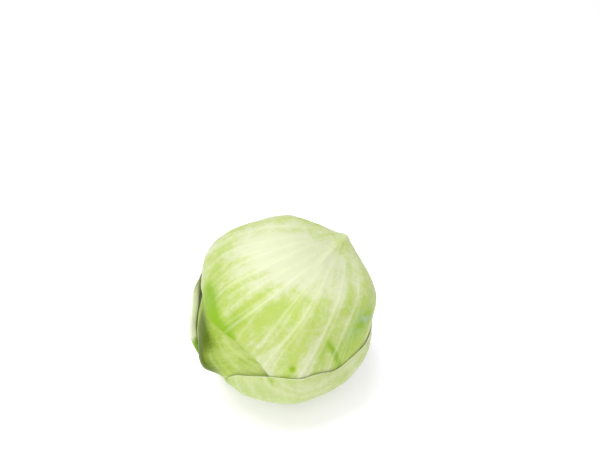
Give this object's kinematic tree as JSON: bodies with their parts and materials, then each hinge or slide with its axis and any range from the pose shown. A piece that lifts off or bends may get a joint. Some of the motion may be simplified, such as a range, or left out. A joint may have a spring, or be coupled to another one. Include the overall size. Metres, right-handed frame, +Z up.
{
  "type": "white cabbage",
  "caption": "Whole white cabbage head lying on its side: a tight round heart wrapped in overlapping, veined pale green leaves, with a short cut stem.",
  "frame": {"origin": "on the ground, under the middle of the head as it lies on its flat spot", "axes": "+Z up; the cut stem points along +Y, raised 12 degrees from level, and the leaf tips along -Y; +X to the right when looking along +Y"},
  "size_m": [0.176, 0.1746, 0.1727],
  "materials": {
    "outer_leaf": "pale yellow-green leaf skin with cream veins and a soft waxy sheen",
    "shaded_leaf": "deeper yellow-green leaf skin with pale veins and a waxy bloom",
    "inner_leaf": "thin, smooth yellow-green leaf skin",
    "heart_leaf": "cream to pale green, smooth and moist",
    "cut_stem": "pale cut plant tissue with a fibrous ring and a spongy pith"
  },
  "bodies": {
    "root": {"leaf_1_right_inner": "inner_leaf", "leaf_2_upper_inner": "inner_leaf", "leaf_3_left": "shaded_leaf", "leaf_4_main": "outer_leaf", "leaf_5_under": "outer_leaf", "leaf_6_outer_left": "outer_leaf", "heart": "heart_leaf", "cut_stem": "cut_stem"}
  },
  "joints": []
}
